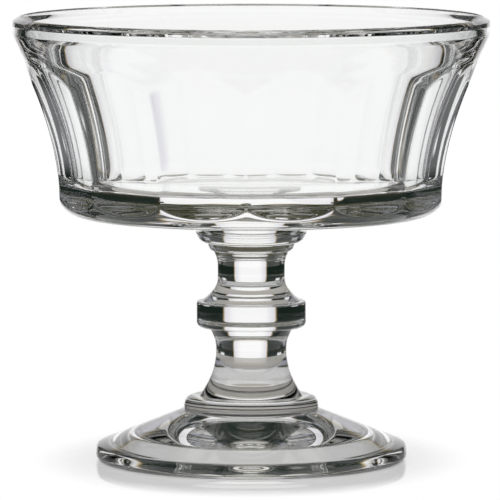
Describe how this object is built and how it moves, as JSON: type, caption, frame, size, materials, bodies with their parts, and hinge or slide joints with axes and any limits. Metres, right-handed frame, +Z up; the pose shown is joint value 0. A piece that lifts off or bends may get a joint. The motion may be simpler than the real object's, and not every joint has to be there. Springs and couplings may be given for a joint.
{
  "type": "dessert coupe",
  "caption": "Footed dessert coupe in clear pressed glass: a flared bowl with arched flat panels and a banded rim, on a knopped stem and a round sloping foot.",
  "frame": {"origin": "on the table, under the middle of the foot", "axes": "+Z up along the axis of the stem; -Y faces the viewer, with a ridge between two panels in the middle"},
  "size_m": [0.112, 0.112, 0.1046],
  "materials": {
    "clear_glass": "fire-polished, clear, with a faint green cast where it is thick"
  },
  "bodies": {
    "root": {"foot": "clear_glass", "foot_collar": "clear_glass", "lower_stem": "clear_glass", "knop_ring": "clear_glass", "upper_stem": "clear_glass", "bowl_collar": "clear_glass", "bowl": "clear_glass"}
  },
  "joints": []
}
